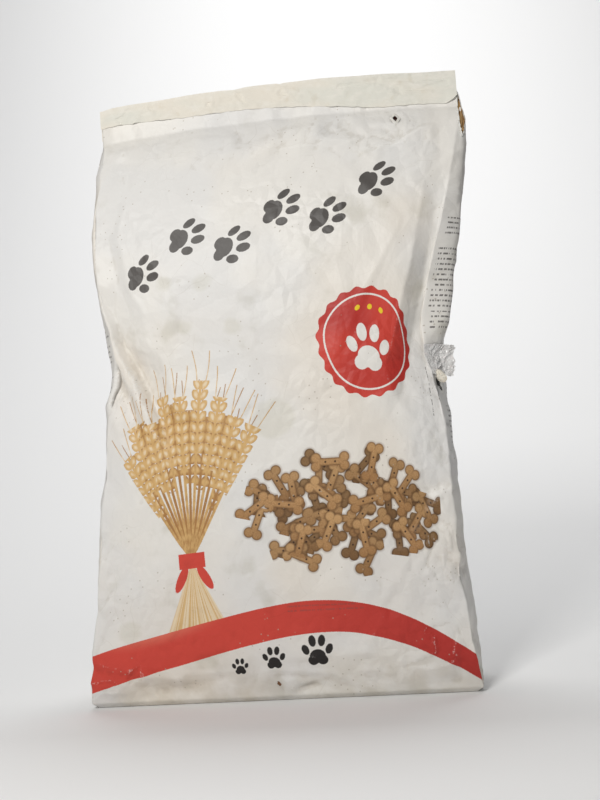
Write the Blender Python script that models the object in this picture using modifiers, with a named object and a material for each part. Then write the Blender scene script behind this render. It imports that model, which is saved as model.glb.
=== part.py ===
"""A filled 10 kg pet food bag: a gusseted, block-bottomed paper sack that stands on its base.

Frame: metres, +Z up. The origin is the centre of the flat base, the printed front panel faces -Y,
and +X is to the right of somebody who looks at the front.

Pieces
  sack          the filled sack, one sealed solid: base, bulging panels, side gussets and top seam
  kraft_ply     the brown inner ply, where the torn corner lays it bare
  closing_tape  the paper strip folded over the top seam and glued down, put on a little askew
  film_patch    a scrap of crumpled sticky film on the right gusset
"""

import math

import bmesh
import bpy
from mathutils import Matrix, Vector

# Driving dimensions (metres)
SEAM_HEIGHT = 0.632          # base to the crown of the top seam
SEAM_LEFT = -0.163           # ends of the top seam; the top of the sack leans to the right
SEAM_RIGHT = 0.2135
SEAM_HALF_THICKNESS = 0.0014
SEAM_DEPTH = 0.036           # height of the flat, glued strip at the top

CROWN_X = 0.060              # the top edge is highest here and falls away to both ends
CROWN_CURVE = 0.24           # fall in metres for each square metre of distance
CROWN_START = 0.450          # below this height the crown has no effect

SHOULDER = 0.22              # share of the gusset's width taken by each rounded shoulder
PANEL_SQUARENESS = 3.0       # how flat the middle of a bulging panel is

TAPE_THICKNESS = 0.0006
TAPE_GAP = 0.0003            # glue line between the tape and the seam
TAPE_OVERHANG = 0.0015       # how far the tape runs past each end of the seam
TAPE_FRONT_LEFT = 0.018      # height of the tape's front leg at its left and right end
TAPE_FRONT_RIGHT = 0.032
TAPE_BACK_LEFT = 0.030
TAPE_BACK_RIGHT = 0.018

PIECE_GAP = 0.0003           # clearance between pieces that lie on each other

# The sack's section at some heights, from the base up:
# (height, left side, right side, left shoulder, right shoulder, half depth, bulge, gusset fold).
# A shoulder is how far the gusset stands out past the panel's edge.
STATIONS = [
    (0.000, -0.1870, 0.1880, 0.0000, 0.0000, 0.0470, 0.0000, 0.0000),
    (0.005, -0.1930, 0.1940, 0.0005, 0.0005, 0.0520, 0.0000, 0.0005),
    (0.050, -0.1920, 0.1925, 0.0040, 0.0060, 0.0590, 0.0030, 0.0030),
    (0.120, -0.1850, 0.1890, 0.0070, 0.0090, 0.0600, 0.0090, 0.0030),
    (0.220, -0.1740, 0.1850, 0.0070, 0.0080, 0.0610, 0.0120, 0.0030),
    (0.300, -0.1655, 0.1835, 0.0090, 0.0100, 0.0600, 0.0125, 0.0035),
    (0.335, -0.1585, 0.1835, 0.0110, 0.0150, 0.0590, 0.0120, 0.0040),
    (0.370, -0.1620, 0.1895, 0.0090, 0.0220, 0.0590, 0.0115, 0.0040),
    (0.430, -0.1700, 0.2010, 0.0060, 0.0210, 0.0570, 0.0095, 0.0040),
    (0.500, -0.1720, 0.2125, 0.0060, 0.0160, 0.0460, 0.0060, 0.0060),
    (0.545, -0.1700, 0.2185, 0.0090, 0.0120, 0.0310, 0.0030, 0.0200),
    (0.575, -0.1660, 0.2205, 0.0060, 0.0080, 0.0160, 0.0010, 0.0300),
    (0.590, -0.1635, 0.2195, 0.0020, 0.0060, 0.0060, 0.0000, 0.0160),
    (0.596, SEAM_LEFT, 0.2190, 0.0000, 0.0055, SEAM_HALF_THICKNESS, 0.0000, 0.0000),
    (0.608, SEAM_LEFT, 0.2170, 0.0000, 0.0035, SEAM_HALF_THICKNESS, 0.0000, 0.0000),
    (0.618, SEAM_LEFT, SEAM_RIGHT, 0.0000, 0.0000, SEAM_HALF_THICKNESS, 0.0000, 0.0000),
    (SEAM_HEIGHT, SEAM_LEFT, SEAM_RIGHT, 0.0000, 0.0000, SEAM_HALF_THICKNESS, 0.0000, 0.0000),
]

# Dents in the front panel: (x, height, half width, half height, depth, lean of the dent's axis)
FRONT_DENTS = [
    (0.152, 0.335, 0.026, 0.075, 0.0120, -0.25),
    (-0.132, 0.325, 0.020, 0.060, 0.0090, 0.50),
    (0.125, 0.565, 0.040, 0.020, 0.0040, 0.00),
]

PANEL_STEPS = 16             # mesh steps across a panel and across a gusset
GUSSET_STEPS = 8
TAPE_STEPS = 24

# The tear: a lens-shaped slit along the right front edge, where the outer ply has split
TEAR_LOW = 0.556
TEAR_HIGH = 0.597
TEAR_CUT = 0.0032            # how deep the split corner is opened
PLY_THICKNESS = 0.0008

# A puncture under the tape
PUNCTURE_X = 0.150
PUNCTURE_Z = 0.573
PUNCTURE_RADIUS = 0.0028
PUNCTURE_DEPTH = 0.005

# The scrap of film on the right gusset
FILM_LOW = 0.297
FILM_HEIGHT = 0.040
FILM_Y = -0.042              # front edge of the film, on the gusset's front shoulder
FILM_REACH = 0.034           # length of the film from its stuck edge to its free edge
FILM_FLARE = 0.017           # how far its free edge stands off the gusset
FILM_THICKNESS = 0.0010


def smooth_step(value):
    value = min(max(value, 0.0), 1.0)
    return value * value * (3.0 - 2.0 * value)


def blend(low, high, share):
    return low + (high - low) * share


def section_at(height):
    """The section's measures at a height, on a monotone cubic through the stations."""
    height = min(max(height, STATIONS[0][0]), STATIONS[-1][0])
    upper = next(i for i in range(1, len(STATIONS)) if height <= STATIONS[i][0])
    before, after = STATIONS[upper - 1], STATIONS[upper]
    span = after[0] - before[0]
    share = (height - before[0]) / span
    measures = []
    for column in range(1, len(before)):
        start = slope_at(upper - 1, column) * span
        end = slope_at(upper, column) * span
        a, b = before[column], after[column]
        cubic = ((2 * share ** 3 - 3 * share ** 2 + 1) * a + (share ** 3 - 2 * share ** 2 + share) * start
                 + (3 * share ** 2 - 2 * share ** 3) * b + (share ** 3 - share ** 2) * end)
        measures.append(cubic)
    return measures


def slope_at(index, column):
    """Harmonic-mean slope, which never overshoots a station."""
    if index in (0, len(STATIONS) - 1):
        return 0.0
    previous, here, following = STATIONS[index - 1], STATIONS[index], STATIONS[index + 1]
    below = (here[column] - previous[column]) / (here[0] - previous[0])
    above = (following[column] - here[column]) / (following[0] - here[0])
    if below * above <= 0.0:
        return 0.0
    return 2.0 * below * above / (below + above)


def crowned(x, height):
    """Lower a point near the top so that the top edge is a shallow arch."""
    share = smooth_step((height - CROWN_START) / (SEAM_HEIGHT - SEAM_DEPTH - CROWN_START))
    return height - share * CROWN_CURVE * (x - CROWN_X) ** 2


def front_dent(x, height):
    depth = 0.0
    for centre_x, centre_z, half_width, half_height, dent_depth, lean in FRONT_DENTS:
        across = (x - centre_x + lean * (height - centre_z)) / half_width
        along = (height - centre_z) / half_height
        distance = math.hypot(across, along)
        if distance < 1.0:
            depth += dent_depth * smooth_step(1.0 - distance)
    return depth


def panel_ring(height):
    """One closed ring of the sack: front panel, right gusset, back panel, left gusset."""
    left, right, left_shoulder, right_shoulder, half_depth, bulge, fold = section_at(height)
    left_edge = left + left_shoulder
    right_edge = right - right_shoulder
    ring = []
    for step in range(PANEL_STEPS):
        share = step / PANEL_STEPS
        x = blend(left_edge, right_edge, share)
        swell = bulge * (1.0 - abs(2.0 * share - 1.0) ** PANEL_SQUARENESS)
        ring.append((x, -half_depth - swell + front_dent(x, height)))
    for step in range(GUSSET_STEPS):
        share = step / GUSSET_STEPS
        ring.append((right_edge + gusset_reach(share, right_shoulder, fold), blend(-half_depth, half_depth, share)))
    for step in range(PANEL_STEPS):
        share = step / PANEL_STEPS
        x = blend(right_edge, left_edge, share)
        swell = bulge * (1.0 - abs(2.0 * share - 1.0) ** PANEL_SQUARENESS)
        ring.append((x, half_depth + swell))
    for step in range(GUSSET_STEPS):
        share = step / GUSSET_STEPS
        ring.append((left_edge - gusset_reach(share, left_shoulder, fold), blend(half_depth, -half_depth, share)))
    return [Vector((x, y, crowned(x, height))) for x, y in ring]


def gusset_reach(share, shoulder, fold):
    """How far the gusset stands out from the panel's edge: round shoulders, a folded middle."""
    from_edge = min(share, 1.0 - share)
    if from_edge < SHOULDER:
        return shoulder * math.sin(0.5 * math.pi * from_edge / SHOULDER)
    return shoulder - fold * (from_edge - SHOULDER) / (0.5 - SHOULDER)


def row_heights():
    """Rows of the sack's mesh: close at the base and the shoulders of the seam, wide between."""
    heights = [0.0, 0.005, 0.018, 0.034, 0.050]
    heights += [0.050 + 0.025 * step for step in range(1, 17)]
    heights += [0.466, 0.482, 0.500, 0.515, 0.530, 0.545, 0.560, 0.575, 0.583, 0.590, 0.596]
    heights += [0.602, 0.608, 0.613, 0.618, SEAM_HEIGHT]
    return heights


def material(name, color, roughness, coat=0.0):
    shader_material = bpy.data.materials.new(name)
    shader_material.use_nodes = True
    shader = shader_material.node_tree.nodes["Principled BSDF"]
    shader.inputs["Base Color"].default_value = (*color, 1.0)
    shader.inputs["Roughness"].default_value = roughness
    shader.inputs["Metallic"].default_value = 0.0
    shader.inputs["Coat Weight"].default_value = coat
    shader_material.diffuse_color = (*color, 1.0)
    return shader_material


def add_object(name, mesh, collection, surface=None):
    piece = bpy.data.objects.new(name, mesh)
    collection.objects.link(piece)
    if surface:
        mesh.materials.append(surface)
    return piece


def mesh_from(name, work):
    """Turn a bmesh into a mesh with its normals pointing out."""
    bmesh.ops.recalc_face_normals(work, faces=work.faces)
    mesh = bpy.data.meshes.new(name)
    work.to_mesh(mesh)
    work.free()
    return mesh


def build_sack(collection):
    """Loft the rings, close the base flat and the top along the seam."""
    work = bmesh.new()
    rings = [[work.verts.new(point) for point in panel_ring(height)] for height in row_heights()]
    around = len(rings[0])
    for lower, upper in zip(rings, rings[1:]):
        for i in range(around):
            j = (i + 1) % around
            work.faces.new((lower[i], lower[j], upper[j], upper[i]))
    work.faces.new(rings[0])

    top = rings[-1]
    front = top[:PANEL_STEPS + 1]
    back_start = PANEL_STEPS + GUSSET_STEPS
    back = list(reversed(top[back_start:back_start + PANEL_STEPS + 1]))
    right_gusset = top[PANEL_STEPS + 1:back_start]
    left_gusset = top[back_start + PANEL_STEPS + 1:]
    work.faces.new([front[1], front[0]] + list(reversed(left_gusset)) + [back[0], back[1]])
    for i in range(1, PANEL_STEPS - 1):
        work.faces.new((front[i], front[i + 1], back[i + 1], back[i]))
    work.faces.new([front[-2], front[-1]] + right_gusset + [back[-1], back[-2]])

    paper = material("printed_paper", (0.72, 0.69, 0.65), 0.55, coat=0.15)
    sack = add_object("sack", mesh_from("sack", work), collection, paper)
    sack.data.shade_smooth()
    sack.data.set_sharp_from_angle(angle=math.radians(35))
    return sack


def add_cutter(name, mesh, cutters, target):
    """Hide a cutter and subtract it from its target."""
    cutter = add_object(name, mesh, cutters)
    cutter.hide_render = True
    cutter.display_type = "WIRE"
    cut = target.modifiers.new(name, "BOOLEAN")
    cut.operation = "DIFFERENCE"
    cut.object = cutter
    return cutter


def tear_frame():
    """Centre, up, outward and across directions of the split corner."""
    def corner(height):
        _, right, _, shoulder, half_depth, _, _ = section_at(height)
        x = right - shoulder
        return Vector((x, -half_depth, crowned(x, height)))
    low, high = corner(TEAR_LOW), corner(TEAR_HIGH)
    middle = corner(0.5 * (TEAR_LOW + TEAR_HIGH))
    up = (high - low).normalized()
    outward = Vector((0.75, -0.66, 0.0))
    outward = (outward - up * outward.dot(up)).normalized()
    return middle, up, outward, up.cross(outward), (high - low).length


def lens_prism(name, length, half_width, floor, roof):
    """A lens outline along the torn corner, extruded outwards from floor to roof."""
    middle, up, outward, across, _ = tear_frame()
    work = bmesh.new()
    outline_steps = 8
    outline = []
    for side in (1, -1):
        for step in range(outline_steps):
            share = step / outline_steps
            along = (share - 0.5) * length * side
            outline.append(up * along + across * side * half_width * math.sin(math.pi * share))
    lower = [work.verts.new(middle + point + outward * floor) for point in outline]
    face = work.faces.new(lower)
    raised = bmesh.ops.extrude_face_region(work, geom=[face])
    moved = [item for item in raised["geom"] if isinstance(item, bmesh.types.BMVert)]
    bmesh.ops.translate(work, verts=moved, vec=outward * (roof - floor))
    return mesh_from(name, work)


def build_tear(sack, collection, cutters):
    """Open the split corner and lay the kraft ply on the floor of the opening."""
    length = tear_frame()[4]
    opening = lens_prism("tear_cutter", length, 0.0055, -TEAR_CUT, 0.020)
    add_cutter("tear_cutter", opening, cutters, sack)
    floor = -TEAR_CUT + PIECE_GAP
    ply = lens_prism("kraft_ply", length * 0.9, 0.0042, floor, floor + PLY_THICKNESS)
    return add_object("kraft_ply", ply, collection, material("kraft_paper", (0.42, 0.27, 0.13), 0.8))


def build_puncture(sack, cutters):
    """A small ragged hole, pushed in through the outer plies."""
    work = bmesh.new()
    section = section_at(PUNCTURE_Z)
    half_depth = section[4]
    placed = Matrix.Translation((PUNCTURE_X, -half_depth, crowned(PUNCTURE_X, PUNCTURE_Z)))
    bmesh.ops.create_cone(work, cap_ends=True, segments=7, radius1=PUNCTURE_RADIUS, radius2=PUNCTURE_RADIUS * 0.5,
                          depth=2.0 * PUNCTURE_DEPTH, matrix=placed @ Matrix.Rotation(math.radians(-90), 4, "X"))
    add_cutter("puncture_cutter", mesh_from("puncture_cutter", work), cutters, sack)


def build_tape(collection):
    """A strip bent over the seam: an open U-shaped sheet given its thickness outwards."""
    reach = SEAM_HALF_THICKNESS + TAPE_GAP
    work = bmesh.new()
    rows = []
    for step in range(TAPE_STEPS + 1):
        share = step / TAPE_STEPS
        x = blend(SEAM_LEFT - TAPE_OVERHANG, SEAM_RIGHT + TAPE_OVERHANG, share)
        top = crowned(x, SEAM_HEIGHT)
        front_leg = blend(TAPE_FRONT_LEFT, TAPE_FRONT_RIGHT, share)
        back_leg = blend(TAPE_BACK_LEFT, TAPE_BACK_RIGHT, share)
        profile = [(-reach, top - front_leg), (-reach, top - 0.5 * front_leg), (-reach, top),
                   (-0.6 * reach, top + 0.8 * TAPE_GAP + 0.0004), (0.6 * reach, top + 0.8 * TAPE_GAP + 0.0004),
                   (reach, top), (reach, top - 0.5 * back_leg), (reach, top - back_leg)]
        rows.append([work.verts.new((x, y, z)) for y, z in profile])
    for row, following in zip(rows, rows[1:]):
        for i in range(len(row) - 1):
            work.faces.new((row[i], following[i], following[i + 1], row[i + 1]))
    mesh = bpy.data.meshes.new("closing_tape")
    work.normal_update()
    work.to_mesh(mesh)
    work.free()
    tape = add_object("closing_tape", mesh, collection, material("tape_paper", (0.78, 0.74, 0.64), 0.85))
    shell = tape.modifiers.new("paper", "SOLIDIFY")
    shell.thickness = TAPE_THICKNESS
    shell.offset = 1.0
    return tape


def build_film(collection):
    """A crumpled sheet: one edge lies on the gusset's shoulder, the rest flares away from it."""
    across_steps, up_steps = 6, 6
    work = bmesh.new()
    grid = []
    for row in range(up_steps + 1):
        up_share = row / up_steps
        height = FILM_LOW + FILM_HEIGHT * up_share
        _, right, _, shoulder, half_depth, _, fold = section_at(height)
        line = []
        for column in range(across_steps + 1):
            share = column / across_steps
            y = FILM_Y + FILM_REACH * share
            gusset_share = (y + half_depth) / (2.0 * half_depth)
            side = right - shoulder + gusset_reach(gusset_share, shoulder, fold)
            waist = 0.45 + 0.55 * math.sin(math.pi * min(up_share + 0.25, 1.0))
            flare = FILM_FLARE * waist * share ** 1.5
            crumple = 0.0016 * math.sin(5.1 * column + 2.3 * row) * share
            line.append(work.verts.new((side + 0.0012 + flare + crumple, y, crowned(side, height))))
        grid.append(line)
    for row, following in zip(grid, grid[1:]):
        for i in range(across_steps):
            work.faces.new((row[i], row[i + 1], following[i + 1], following[i]))
    mesh = bpy.data.meshes.new("film_patch")
    work.normal_update()
    work.to_mesh(mesh)
    work.free()
    film = add_object("film_patch", mesh, collection, material("clear_film", (0.80, 0.80, 0.77), 0.2, coat=0.6))
    shell = film.modifiers.new("film", "SOLIDIFY")
    shell.thickness = FILM_THICKNESS
    shell.offset = 1.0
    return film


def main():
    for existing in list(bpy.data.objects):
        bpy.data.objects.remove(existing, do_unlink=True)
    collection = bpy.data.collections.new("pet_food_bag")
    cutters = bpy.data.collections.new("cutters")
    bpy.context.scene.collection.children.link(collection)
    bpy.context.scene.collection.children.link(cutters)

    sack = build_sack(collection)
    build_tear(sack, collection, cutters)
    build_puncture(sack, cutters)
    build_tape(collection)
    build_film(collection)


main()
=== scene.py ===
# Pet food bag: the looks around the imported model
import math

import bpy
import numpy as np
from mathutils import Matrix, Vector
from mathutils.bvhtree import BVHTree
from mathutils.geometry import delaunay_2d_cdt


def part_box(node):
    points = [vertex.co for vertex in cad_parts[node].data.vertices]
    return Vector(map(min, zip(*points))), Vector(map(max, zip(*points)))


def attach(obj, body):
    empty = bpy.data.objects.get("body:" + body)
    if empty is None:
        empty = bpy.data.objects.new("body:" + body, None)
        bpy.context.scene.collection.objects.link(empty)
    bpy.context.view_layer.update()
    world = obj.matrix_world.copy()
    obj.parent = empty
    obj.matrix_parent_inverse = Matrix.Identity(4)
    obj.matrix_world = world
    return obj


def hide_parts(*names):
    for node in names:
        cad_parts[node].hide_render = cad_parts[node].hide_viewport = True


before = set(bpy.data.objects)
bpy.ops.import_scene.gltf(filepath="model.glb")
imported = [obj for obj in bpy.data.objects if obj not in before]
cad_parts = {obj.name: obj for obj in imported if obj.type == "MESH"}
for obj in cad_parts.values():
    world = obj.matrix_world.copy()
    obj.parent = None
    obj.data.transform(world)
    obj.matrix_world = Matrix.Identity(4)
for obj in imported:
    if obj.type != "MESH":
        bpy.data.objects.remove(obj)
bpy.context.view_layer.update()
bpy.ops.object.select_all(action="DESELECT")
sackLow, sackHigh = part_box("sack")
mm = (sackHigh.z - sackLow.z) / 632  # one millimetre of the real sack, which is 632 mm high
print("frame loaded, one millimetre is", round(mm, 6))


def smooth(value):
    value = np.clip(value, 0.0, 1.0)
    return value * value * (3.0 - 2.0 * value)


def curveThrough(where, knots, values):  # a cubic that passes the knots and never overshoots them
    knots, values = np.asarray(knots, float), np.asarray(values, float)
    step = np.diff(knots)
    slope = np.diff(values) / step
    tangent = np.zeros(len(knots))
    product = slope[:-1] * slope[1:]
    inner = np.divide(2 * product, slope[:-1] + slope[1:], out=np.zeros_like(product), where=product > 0)
    tangent[1:-1] = inner
    where = np.clip(where, knots[0], knots[-1])
    i = np.clip(np.searchsorted(knots, where, side="right") - 1, 0, len(step) - 1)
    t = (where - knots[i]) / step[i]
    return ((2 * t ** 3 - 3 * t ** 2 + 1) * values[i] + (t ** 3 - 2 * t ** 2 + t) * step[i] * tangent[i]
            + (3 * t ** 2 - 2 * t ** 3) * values[i + 1] + (t ** 3 - t ** 2) * step[i] * tangent[i + 1])


def spread(count, crowding):  # shares from 0 to 1, closer together at both ends
    t = np.arange(count + 1) / count
    return t - crowding * np.sin(2 * np.pi * t) / (2 * np.pi)


def softened(field, passes, wrap=False):  # a height field with its creases rounded off
    for _ in range(passes):
        padded = np.pad(field, ((1, 1), (0, 0)), mode="edge")
        field = 0.25 * padded[:-2] + 0.5 * padded[1:-1] + 0.25 * padded[2:]
        padded = np.pad(field, ((0, 0), (1, 1)), mode="wrap" if wrap else "edge")
        field = 0.25 * padded[:, :-2] + 0.5 * padded[:, 1:-1] + 0.25 * padded[:, 2:]
    return field


def netHeights(points, lines, across, up):  # flat facets between points of known height, read anywhere
    flat = [Vector((point[0], point[1])) for point in points]
    net = delaunay_2d_cdt(flat, lines, [], 0, 1e-6)
    origin = net[3]
    corners = [(v.x, v.y, points[origin[i][0]][2] if origin[i] else 0.0) for i, v in enumerate(net[0])]
    tree = BVHTree.FromPolygons(corners, net[2])
    down = Vector((0, 0, -1))
    heights = np.zeros(across.size)
    for i, (x, y) in enumerate(zip(across.ravel().tolist(), up.ravel().tolist())):
        hit = tree.ray_cast(Vector((x, y, 1.0)), down)[0]
        if hit:
            heights[i] = hit.z
    return heights.reshape(across.shape)


def gridPiece(name, positions, closeAround=False, uvs=None):
    # a grid primitive whose rows and columns are laid along a surface given as an array of points
    rows, columns = positions.shape[:2]
    bpy.ops.object.select_all(action="DESELECT")
    bpy.ops.mesh.primitive_grid_add(x_subdivisions=columns - 1, y_subdivisions=rows - 1, size=1)
    piece = bpy.context.object
    piece.name = piece.data.name = name
    mesh = piece.data
    flat = np.zeros(len(mesh.vertices) * 3, np.float32)
    mesh.vertices.foreach_get("co", flat)
    flat = flat.reshape(-1, 3)
    column = np.rint((flat[:, 0] + 0.5) * (columns - 1)).astype(int)
    row = np.rint((flat[:, 1] + 0.5) * (rows - 1)).astype(int)
    mesh.vertices.foreach_set("co", positions[row, column].astype(np.float32).ravel())
    if uvs is not None:
        corner = np.zeros(len(mesh.loops), np.int32)
        mesh.loops.foreach_get("vertex_index", corner)
        layer = mesh.uv_layers.active
        layer.name = "paper"
        layer.data.foreach_set("uv", uvs[row, column][corner].astype(np.float32).ravel())
    if closeAround:
        editAll("remove_doubles", threshold=1e-6)
    mesh.update()
    return piece, row, column


def editAll(operator, **settings):
    bpy.ops.object.mode_set(mode="EDIT")
    bpy.ops.mesh.select_all(action="SELECT")
    getattr(bpy.ops.mesh, operator)(**settings)
    bpy.ops.object.mode_set(mode="OBJECT")


def normalsOf(positions, closed):  # surface normals of a grid of points
    if closed:
        along = np.roll(positions, -1, 1) - np.roll(positions, 1, 1)
    else:
        along = np.gradient(positions, axis=1)
    upward = np.gradient(positions, axis=0)
    normal = np.cross(along, upward)
    return normal / np.maximum(np.linalg.norm(normal, axis=2, keepdims=True), 1e-12)


class Wire:  # a shader socket that can stand in a sum
    def __init__(self, look, socket):
        self.look = look
        self.socket = socket

    def math(self, operation, *others, clamp=False):
        return self.look.node("ShaderNodeMath", dict(operation=operation, use_clamp=clamp), [self, *others])

    def __add__(self, other):
        return self.math("ADD", other)

    def __sub__(self, other):
        return self.math("SUBTRACT", other)

    def __rsub__(self, other):
        return self.look.node("ShaderNodeMath", dict(operation="SUBTRACT"), [other, self])

    def __mul__(self, other):
        return self.math("MULTIPLY", other)

    def __truediv__(self, other):
        return self.math("DIVIDE", other)

    def __abs__(self):
        return self.math("ABSOLUTE")

    __radd__ = __add__
    __rmul__ = __mul__

    def output(self, index):  # another output of the same node
        return Wire(self.look, self.socket.node.outputs[index])

    def least(self, other):
        return self.math("MINIMUM", other)

    def most(self, other):
        return self.math("MAXIMUM", other)

    def ramp(self, low, high):  # 0 at low, 1 at high, eased between
        settings = dict(interpolation_type="SMOOTHSTEP")
        return self.look.node("ShaderNodeMapRange", settings, [self, low, high, 0.0, 1.0])

    def inside(self, softness=0.0004):  # 1 where a distance is negative
        return (0.5 - self / softness).math("MAXIMUM", 0.0, clamp=True)


class Look:  # a material, and the one method that adds a node to it
    def __init__(self, name, dimensions="3D", **fixed):
        self.dimensions = dimensions
        self.material = bpy.data.materials.new(name)
        self.material.use_nodes = True
        self.tree = self.material.node_tree
        self.shader = self.tree.nodes["Principled BSDF"]
        for socket, value in fixed.items():
            self.shader.inputs[socket.replace("_", " ")].default_value = value

    def node(self, kind, settings=None, inputs=(), output=0):
        made = self.tree.nodes.new(kind)
        for key, value in (settings or {}).items():
            setattr(made, key, value)
        for key, value in inputs.items() if isinstance(inputs, dict) else enumerate(inputs):
            if isinstance(value, Wire):
                self.tree.links.new(value.socket, made.inputs[key])
            else:
                made.inputs[key].default_value = value
        return Wire(self, made.outputs[output])

    def feed(self, **wires):
        for socket, wire in wires.items():
            self.tree.links.new(wire.socket, self.shader.inputs[socket.replace("_", " ")])

    def mix(self, share, first, second):
        first, second = ((*c, 1) if isinstance(c, tuple) and len(c) == 3 else c for c in (first, second))
        return self.node("ShaderNodeMix", dict(data_type="RGBA"), {0: share, 6: first, 7: second}, 2)

    def shade(self, color, share, tint):  # multiply a colour by a tint where share is 1
        settings = dict(data_type="RGBA", blend_type="MULTIPLY")
        return self.node("ShaderNodeMix", settings, {0: share, 6: color, 7: (*tint, 1)}, 2)

    def noise(self, place, scale, detail=2.0, distortion=0.0, rough=0.5):
        inputs = {"Vector": place, "Scale": scale, "Detail": detail,
                  "Distortion": distortion, "Roughness": rough}
        return self.node("ShaderNodeTexNoise", dict(noise_dimensions=self.dimensions), inputs)

    def streaks(self, place, across, up, detail):  # noise stretched by its own scale in each direction
        return self.noise(self.stretch(place, (across, up, 1)), 1.0, detail)

    def chance(self, seed):  # one random share for each whole seed
        return self.node("ShaderNodeTexWhiteNoise", dict(noise_dimensions="1D"), {"W": seed})

    def paperPlace(self):  # place on the flat paper, in metres
        return self.stretch(self.node("ShaderNodeUVMap", dict(uv_map="paper")), (1.0, 1.0, 0.0))

    def cells(self, place, scale, feature="F1", output=0, random=1.0):
        inputs = {"Vector": place, "Scale": scale, "Randomness": random}
        settings = dict(feature=feature, voronoi_dimensions=self.dimensions)
        return self.node("ShaderNodeTexVoronoi", settings, inputs, output)

    def local(self, place, centre, angle=0.0, size=(1, 1)):  # place seen from a turned and scaled frame
        values = [place, (*centre, 0), (0, 0, math.radians(angle)), (*size, 1)]
        return self.node("ShaderNodeMapping", dict(vector_type="TEXTURE"), values)

    def stretch(self, place, factors):
        return self.node("ShaderNodeVectorMath", dict(operation="MULTIPLY"), [place, factors])

    def parts(self, place):
        x = self.node("ShaderNodeSeparateXYZ", None, [place])
        return x, x.output(1)

    def join(self, x, y):
        return self.node("ShaderNodeCombineXYZ", None, [x, y, 0.0])

    def length(self, place):
        return self.node("ShaderNodeVectorMath", dict(operation="LENGTH"), [place], 1)

    def warp(self, place, scale, amount):  # place pushed about by noise
        settings = dict(noise_dimensions=self.dimensions)
        push = self.node("ShaderNodeTexNoise", settings, {"Vector": place, "Scale": scale, "Detail": 1.0}, 1)
        centred = self.node("ShaderNodeVectorMath", dict(operation="SUBTRACT"), [push, (0.5, 0.5, 0.5)])
        values = [centred, (amount,) * 3, place]
        return self.node("ShaderNodeVectorMath", dict(operation="MULTIPLY_ADD"), values)

    def ellipse(self, place, centre, size, angle=0.0):  # distance to an ellipse, close enough near its edge
        return (self.length(self.local(place, centre, angle, size)) - 1.0) * min(size)

    def union(self, shapes):
        joined = shapes[0]
        for shape in shapes[1:]:
            joined = joined.least(shape)
        return joined

    def bump(self, height, strength=1.0):  # height in metres
        inputs = {"Strength": strength, "Distance": 1.0, "Height": height}
        self.feed(Normal=self.node("ShaderNodeBump", None, inputs))


def pawShape(look, x, y):  # distance to a paw print two units high, toes towards +y
    side = look.join(abs(x), y)
    pad = look.ellipse(side, (0.0, -0.30), (0.46, 0.40))
    lobe = look.ellipse(side, (0.27, -0.52), (0.30, 0.28))
    outerToe = look.ellipse(side, (0.68, 0.10), (0.20, 0.30), -24)
    innerToe = look.ellipse(side, (0.27, 0.58), (0.21, 0.33), -8)
    return pad.least(lobe).least(outerToe).least(innerToe)


def paw(look, place, centre, size, angle=0.0):
    x, y = look.parts(look.local(place, centre, angle, (size, size)))
    return pawShape(look, x, y) * size


def boneShape(look, place, size):  # distance to a bone that reaches about size to each side
    x, y = look.parts(place)
    x, y = abs(x), abs(y)
    shaft = (x - size * 0.75).most(y - size * 0.20)
    knob = look.length(look.join(x - size * 0.76, y - size * 0.22)) - size * 0.28
    return shaft.least(knob)


frontPrint = dict(  # the printed design, in metres on the flat paper, from the middle of the front panel
    charcoal=(0.088, 0.080, 0.074), black=(0.020, 0.017, 0.016), white=(0.80, 0.775, 0.730),
    red=(0.63, 0.062, 0.042), deepRed=(0.47, 0.034, 0.026), yellow=(0.84, 0.60, 0.02),
    straw=[(0.80, 0.66, 0.46), (0.66, 0.42, 0.17), (0.40, 0.20, 0.065)],
    biscuit=[(0.56, 0.335, 0.150), (0.36, 0.185, 0.070), (0.060, 0.028, 0.013)],
    trail=dict(start=(-0.152, 0.436), step=0.0475, count=6, size=0.0215, stagger=0.012, slope=0.235),
    sheaf=dict(tie=(-0.083, 0.142), reach=0.196, ears=9, fan=0.135, tail=0.078, lean=4),
    seal=dict(centre=(0.102, 0.345), radius=0.054, turn=-9),
    wave=dict(top=((-0.020, -0.360), (0.420, 0.455)), bottom=((-0.010, -0.385), (0.420, 0.447))),
    heap=dict(centre=(0.070, 0.183), half=(0.094, 0.050), biscuit=0.037),
    heapLayers=[  # shift, turn, brightness
        ((0.0, 0.0), 0.6, 0.52), ((0.013, 0.007), 2.3, 0.66), ((0.006, 0.021), 4.1, 0.80),
        ((0.019, 0.014), 1.3, 0.90), ((0.010, 0.002), 3.2, 1.0),
    ],
    steps=[((-0.040, 0.036), 0.0090), ((-0.006, 0.043), 0.0125), ((0.037, 0.048), 0.0170)],
)


def printTrail(look, place, color):  # paw prints walking up to the right
    trail = frontPrint["trail"]
    x, y = look.parts(place)
    along = x - trail["start"][0]
    index = (along / trail["step"]).math("FLOOR")
    stagger = (index.math("FLOORED_MODULO", 2.0) - 0.5) * (2 * trail["stagger"])
    onward = along - (index + 0.5) * trail["step"]
    rise = y - trail["start"][1] - along * trail["slope"] - stagger
    shape = pawShape(look, rise / trail["size"], onward / trail["size"]) * trail["size"]
    length = trail["count"] * trail["step"]
    return look.mix(shape.most((0.0 - along).most(along - length)).inside(), color, frontPrint["charcoal"])


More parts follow.
